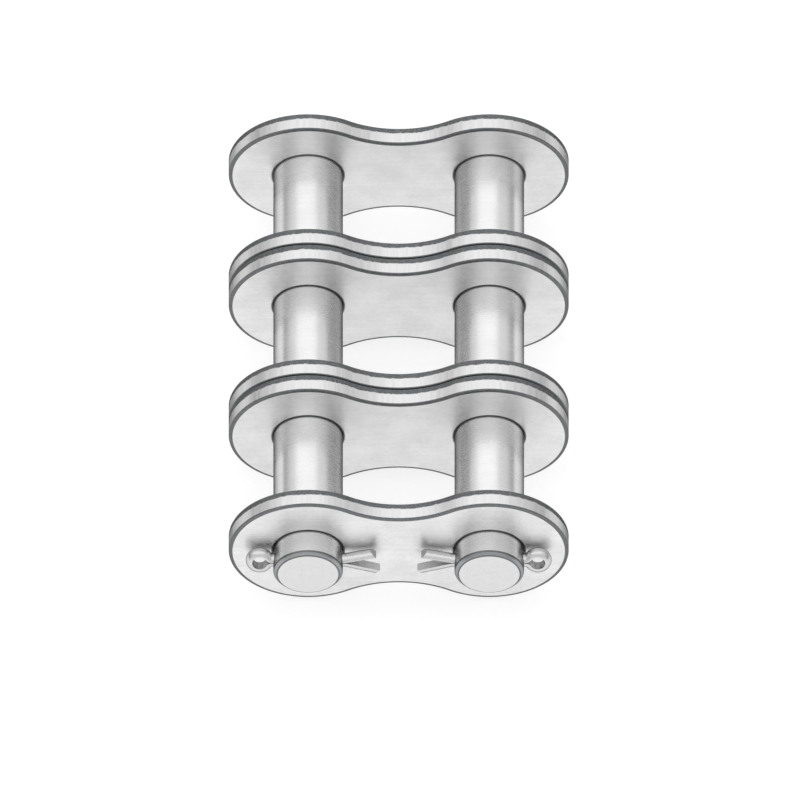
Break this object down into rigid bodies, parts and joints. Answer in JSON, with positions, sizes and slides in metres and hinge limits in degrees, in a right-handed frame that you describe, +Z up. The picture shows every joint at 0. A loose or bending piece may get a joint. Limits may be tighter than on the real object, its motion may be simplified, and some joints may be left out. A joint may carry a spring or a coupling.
{
  "type": "triplex chain connecting link",
  "caption": "Connecting link for a three-row roller chain: long pins riveted to an outer plate, loose intermediate plates, and a cover plate held on by split pins.",
  "frame": {"origin": "midway between the two pin axes, at half the length of the pins", "axes": "+X along the chain, +Y along the pins towards the riveted fixed plate, +Z up as the link lies on the edges of its plates"},
  "size_m": [0.0714, 0.1094, 0.0334],
  "materials": {
    "plate_steel": "blanked and tumbled bright steel, satin",
    "pin_steel": "ground and polished hardened steel",
    "split_pin_wire": "bright zinc-plated half-round wire"
  },
  "bodies": {
    "pin_link": {"fixed_outer_plate": "plate_steel", "left_pin": "pin_steel", "right_pin": "pin_steel", "left_split_pin": "split_pin_wire", "right_split_pin": "split_pin_wire"},
    "plate_1": {"intermediate_plate_1": "plate_steel"},
    "plate_2": {"intermediate_plate_2": "plate_steel"},
    "plate_3": {"intermediate_plate_3": "plate_steel"},
    "plate_4": {"intermediate_plate_4": "plate_steel"},
    "cover": {"cover_plate": "plate_steel"}
  },
  "joints": [
    {"name": "plate_1_slide", "type": "slide", "parent": "pin_link", "child": "plate_1", "axis": [0, 1, 0], "range_m": [0, 0.02575]},
    {"name": "plate_2_slide", "type": "slide", "parent": "pin_link", "child": "plate_2", "axis": [0, 1, 0], "range_m": [-0.01285, 0]},
    {"name": "plate_3_slide", "type": "slide", "parent": "pin_link", "child": "plate_3", "axis": [0, 1, 0], "range_m": [0, 0.01285]},
    {"name": "plate_4_slide", "type": "slide", "parent": "pin_link", "child": "plate_4", "axis": [0, 1, 0], "range_m": [-0.01285, 0]},
    {"name": "cover_slide", "type": "slide", "parent": "pin_link", "child": "cover", "axis": [0, 1, 0], "range_m": [-0.0003, 0.01285]}
  ]
}
